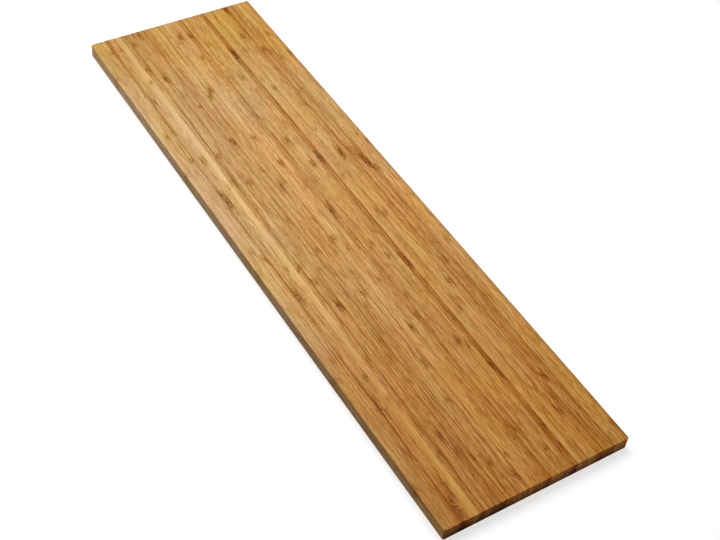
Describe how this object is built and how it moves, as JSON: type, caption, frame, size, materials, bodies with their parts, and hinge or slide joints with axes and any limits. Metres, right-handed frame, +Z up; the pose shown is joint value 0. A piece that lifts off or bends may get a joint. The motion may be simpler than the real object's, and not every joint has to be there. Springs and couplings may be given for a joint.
{
  "type": "bamboo lumber",
  "caption": "Flat rectangular board of full-length bamboo strips set on edge and glued face to face, for shelves, tops, treads and joinery.",
  "frame": {"origin": "the middle of the underside", "axes": "+Y along the board and its strips, +X across the width, +Z up through the thickness"},
  "size_m": [0.254, 0.9144, 0.0191],
  "materials": {
    "pale_bamboo": "satin",
    "golden_bamboo": "satin",
    "russet_bamboo": "satin",
    "dark_bamboo": "satin"
  },
  "bodies": {
    "root": {"strip_01": "pale_bamboo", "strip_02": "pale_bamboo", "strip_03": "pale_bamboo", "strip_04": "dark_bamboo", "strip_05": "golden_bamboo", "strip_06": "pale_bamboo", "strip_07": "golden_bamboo", "strip_08": "russet_bamboo", "strip_09": "russet_bamboo", "strip_10": "russet_bamboo", "strip_11": "golden_bamboo", "strip_12": "russet_bamboo", "strip_13": "golden_bamboo", "strip_14": "golden_bamboo", "strip_15": "golden_bamboo", "strip_16": "golden_bamboo", "strip_17": "golden_bamboo", "strip_18": "golden_bamboo", "strip_19": "dark_bamboo", "strip_20": "golden_bamboo", "strip_21": "golden_bamboo", "strip_22": "golden_bamboo", "strip_23": "golden_bamboo", "strip_24": "dark_bamboo", "strip_25": "pale_bamboo", "strip_26": "golden_bamboo", "strip_27": "golden_bamboo", "strip_28": "golden_bamboo", "strip_29": "russet_bamboo", "strip_30": "russet_bamboo", "strip_31": "russet_bamboo", "strip_32": "golden_bamboo", "strip_33": "golden_bamboo", "strip_34": "pale_bamboo"}
  },
  "joints": []
}
